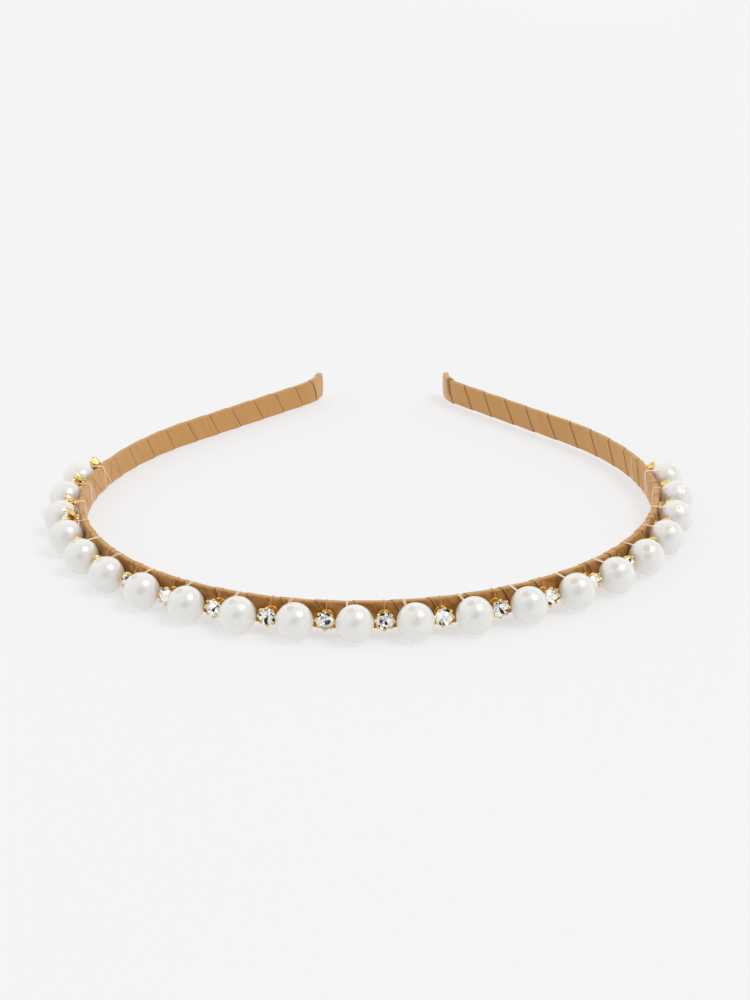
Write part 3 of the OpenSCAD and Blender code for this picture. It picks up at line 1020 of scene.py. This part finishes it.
def behind(s, lean, r, rng):  # under the lower edge, up the inner face and over the upper edge
    (face, edge), corner = standOff(r), thread["corner"]
    low, mid = s - lean, s - lean / 2 + rng.uniform(-0.2, 0.2)
    return [
        at(low, -face + corner, -edge), at(low + 0.05, -face, -edge + corner),
        at(mid, -face, 0), at(s - 0.05, -face, edge - corner), at(s, -face + corner, edge),
    ]


def tiedOn(s, r, last):  # between the stop knot and an edge of the band
    (face, edge), corner = standOff(r), thread["corner"]
    knot = [at(s, seatOut + 0.45, thread["knotUp"])]
    if last:
        return [at(s, face, edge - corner)] + knot
    over = [at(s + 0.7, face, corner - edge), at(s + 0.8, face - corner, -edge)]
    return knot + [at(s + 0.5, face, 0.2)] + over


def throughPearl(i, s, rng):
    r = thread["paleR"]
    face, edge = standOff(r)
    way, over = boreWay(i), pearlR - thread["sunk"] + r
    middle = Vector((s, pearlOut, 0))
    cross = -thread["besideHole"] + rng.uniform(-thread["vary"], thread["vary"])
    near = Vector((cross * 1.1, -1.9, 3.4)).normalized()
    made = [at(s + cross, face - thread["corner"], edge)]
    spots = [middle + near.slerp(way, k / 6) * over for k in range(7)]
    spots += [middle + way * pearlR * reach for reach in (0.85, 0.4, -0.4, -0.85, -1.03)]
    made += [at(p.x, p.y, p.z) for p in spots]
    low = middle - way * pearlR
    return made + [at(low.x, face + 0.1, -edge + 0.03), at(low.x, face - 0.4, -edge)], cross


def throughFoot(i):
    (face, edge), corner = standOff(thread["tanR"]), thread["corner"]
    s, seat = stoneS(i), seatMatrix(i)
    foot = [seat @ (Vector((0, y, thread["footUp"])) * mm) for y in (1.6, 0, -1.6)]
    down = [at(s, face - corner, edge), at(s, face, edge - 0.2)]
    return down + foot + [at(s, face, corner - edge), at(s, face - corner, -edge)]


def threadRoutes():
    rng = random.Random(thread["seed"])
    end = stoneS(beads["count"] + 1) + thread["knotOn"]
    pale, tan = thread["paleR"], thread["tanR"]
    pearls, feet = tiedOn(-end, pale, False), tiedOn(-end, tan, False)
    for i in range(1, beads["count"] + 1):
        for lean in thread["pearlLeans"]:
            through, cross = throughPearl(i, beadS(i), rng)
            pearls += behind(beadS(i) + cross, lean + rng.uniform(-0.4, 0.4), pale, rng) + through
    for i in range(1, beads["count"] + 2):
        for lean in thread["footLeans"]:
            feet += behind(stoneS(i), lean + rng.uniform(-0.4, 0.4), tan, rng) + throughFoot(i)
    paleLean, tanLean = thread["endLeans"]
    pearls += behind(end, paleLean, pale, rng) + tiedOn(end, pale, True)
    feet += behind(end, tanLean, tan, rng) + tiedOn(end, tan, True)
    return pearls, feet


def eased(route, rounds):  # corners cut by a quarter, each round
    for _ in range(rounds):
        cut = [route[0]]
        for a, b in zip(route, route[1:]):
            cut += [a.lerp(b, 0.25), a.lerp(b, 0.75)]
        route = cut + [route[-1]]
    return route


def sweepTube(route, radius, sides):  # points, faces and (round, along) of a round tube
    points, lay = [], []
    normal = None
    run = 0.0
    for k, p in enumerate(route):
        ahead = (route[min(k + 1, len(route) - 1)] - route[max(k - 1, 0)]).normalized()
        if normal is None:
            normal = ahead.orthogonal().normalized()
        normal = (normal - ahead * normal.dot(ahead)).normalized()
        binormal = ahead.cross(normal)
        run += (p - route[max(k - 1, 0)]).length / mm
        for j in range(sides):
            a = 2 * math.pi * j / sides
            points.append(p + (normal * math.cos(a) + binormal * math.sin(a)) * radius * mm)
            lay.append((j / sides * 2 + run * 1.5, run, 0.0))
    faces = ringFaces(len(route), sides)
    faces += [tuple(reversed(range(sides))), tuple(range(len(points) - sides, len(points)))]
    return points, faces, lay


def makeStrand(name, route, r, material, node):
    points, faces, lay = sweepTube(eased(route, thread["rounds"]), r, thread["sides"])
    obj = makePiece(name, points, faces, [material])
    addVectors(obj, "lay", lay)
    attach(obj, "crown")
    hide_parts(node)


def makeKnots():
    points, faces, lay = [], [], []
    knotS = stoneS(beads["count"] + 1) + thread["knotOn"]
    wide, steps = thread["knotWide"], thread["knotSteps"]
    for side in (-1, 1):
        place = stationMatrix(side * knotS, seatOut + thread["knotOut"], thread["knotUp"])
        route = []
        for k in range(steps + 1):  # a trefoil pulled tight
            a = 2 * math.pi * k / steps
            x, y = math.sin(a) + 2 * math.sin(2 * a), math.cos(a) - 2 * math.cos(2 * a)
            route.append(place @ (Vector((x * wide, y * wide, -math.sin(3 * a) * thread["knotDeep"])) * mm))
        base = len(points)
        p, f, l = sweepTube(route, thread["knotR"], thread["knotSides"])
        points, faces, lay = points + p, faces + [tuple(base + i for i in q) for q in f], lay + l
    obj = makePiece("stopKnots", points, faces, [paleThread])
    addVectors(obj, "lay", lay)
    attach(obj, "crown")
    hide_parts("end_knots")


pearlRoute, footRoute = threadRoutes()
makeStrand("pearlStrand", pearlRoute, thread["paleR"], paleThread, "pearl_thread")
makeStrand("settingStrand", footRoute, thread["tanR"], tanThread, "stone_thread")
makeKnots()
print("thread sewn")

# Steel strip: the CAD nodes stay, inside the ribbon
for node in ("core_crown", "core_left_arm", "core_right_arm"):
    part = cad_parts[node]
    part.data.materials.clear()
    part.data.materials.append(steel)

# What moves with what
flexReach = 5.0  # mm each side of the flex point; the two points found from it below are not used
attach(ribbonCrown, "crown")
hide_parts("ribbon_crown")
for side, obj, tip in ((-1, ribbonLeft, tipLeft), (1, ribbonRight, tipRight)):
    word = "left" if side < 0 else "right"
    flexS = side * (crownEnd + shoulderEnd) / 2
    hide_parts(f"ribbon_{word}_arm")
    start, end = at(flexS - side * flexReach, 0, 0), at(flexS + side * flexReach, 0, 0)
    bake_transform(obj)
    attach(tip, f"{word}_arm")
    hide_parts(f"{word}_tip_cover")

# Floor
floor = makePiece("floor", [(-4, -4, 0), (4, -4, 0), (4, 4, 0), (-4, 4, 0)], [(0, 1, 2, 3)], [paper])
